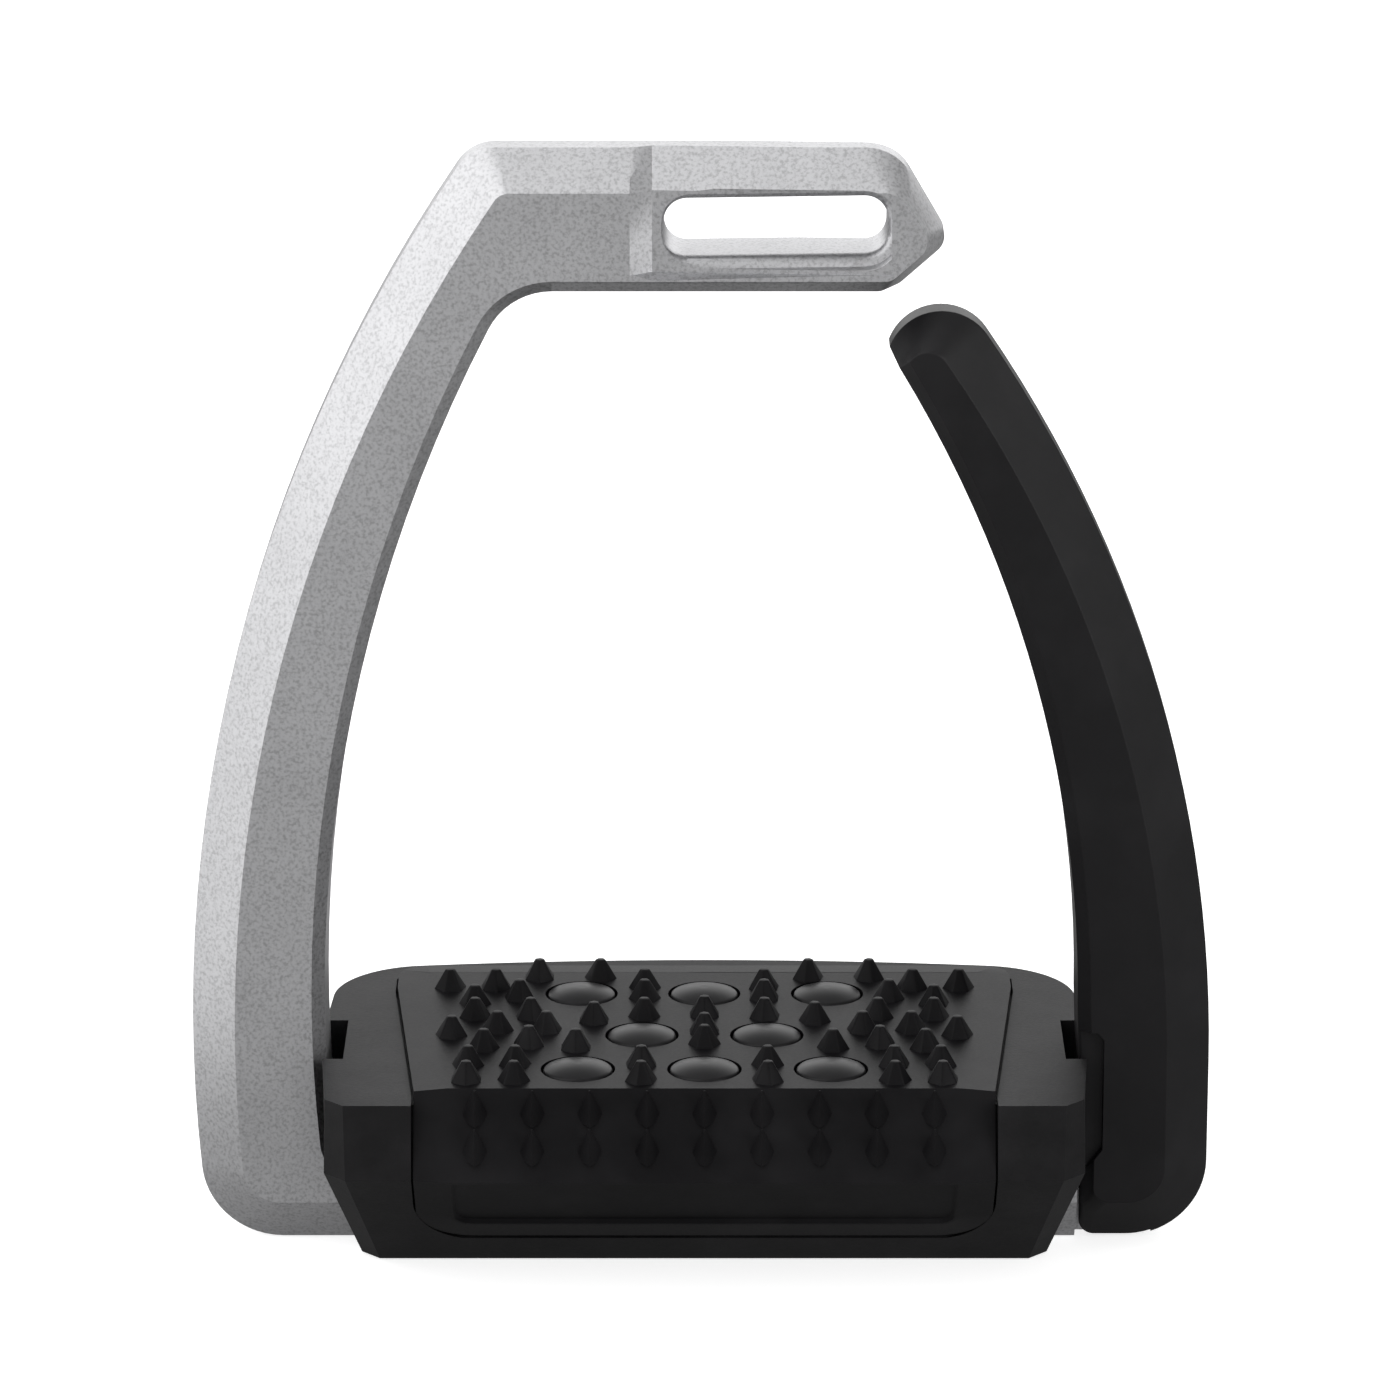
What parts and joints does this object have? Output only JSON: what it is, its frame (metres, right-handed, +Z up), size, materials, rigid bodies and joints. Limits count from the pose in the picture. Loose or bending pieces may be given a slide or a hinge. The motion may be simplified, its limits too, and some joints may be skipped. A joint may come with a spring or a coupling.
{
  "type": "safety stirrup iron",
  "caption": "Safety stirrup iron with an aluminium frame and offset eye, a spiked tread with domed buttons, and an outer branch that swings open on a sprung hinge.",
  "frame": {"origin": "on the ground, under the middle between the two branches and the middle of the tread", "axes": "+X from the fixed branch to the release arm, +Y back from the toe, +Z up to the eye bar"},
  "size_m": [0.1628, 0.0742, 0.1796],
  "materials": {
    "frame_aluminium": "fine bead-blasted anodised, satin",
    "casing_composite": "moulded glass-filled nylon, spark-eroded texture",
    "pad_composite": "moulded, smooth satin",
    "arm_composite": "moulded glass-filled nylon, satin",
    "button_rubber": "soft moulded elastomer, satin",
    "cushion_rubber": "moulded elastomer",
    "screw_steel": "stainless steel",
    "pin_steel": "ground steel",
    "bush_bronze": "turned bronze",
    "insert_brass": "knurled brass"
  },
  "bodies": {
    "frame": {"frame": "frame_aluminium", "tread_casing": "casing_composite", "threaded_inserts": "insert_brass", "crossbar_screws": "screw_steel", "cushion": "cushion_rubber", "grip_pad": "pad_composite", "pad_screws": "screw_steel", "hinge_bush": "bush_bronze", "stop_pad": "cushion_rubber", "dome_button_1": "button_rubber", "dome_button_2": "button_rubber", "dome_button_3": "button_rubber", "dome_button_4": "button_rubber", "dome_button_5": "button_rubber", "dome_button_6": "button_rubber", "dome_button_7": "button_rubber", "dome_button_8": "button_rubber"},
    "release_arm": {"release_arm": "arm_composite", "hinge_pin": "pin_steel", "pin_plug": "arm_composite", "return_spring_front": "pin_steel", "return_spring_rear": "pin_steel"}
  },
  "joints": [
    {"name": "arm_release", "type": "hinge", "parent": "frame", "child": "release_arm", "pos_m": [0.0685, -0.0035, 0.0042], "axis": [0, 1, 0], "range_deg": [0, 70], "stiffness_Nm_per_rad": 1.2, "springref_deg": -20.05}
  ]
}
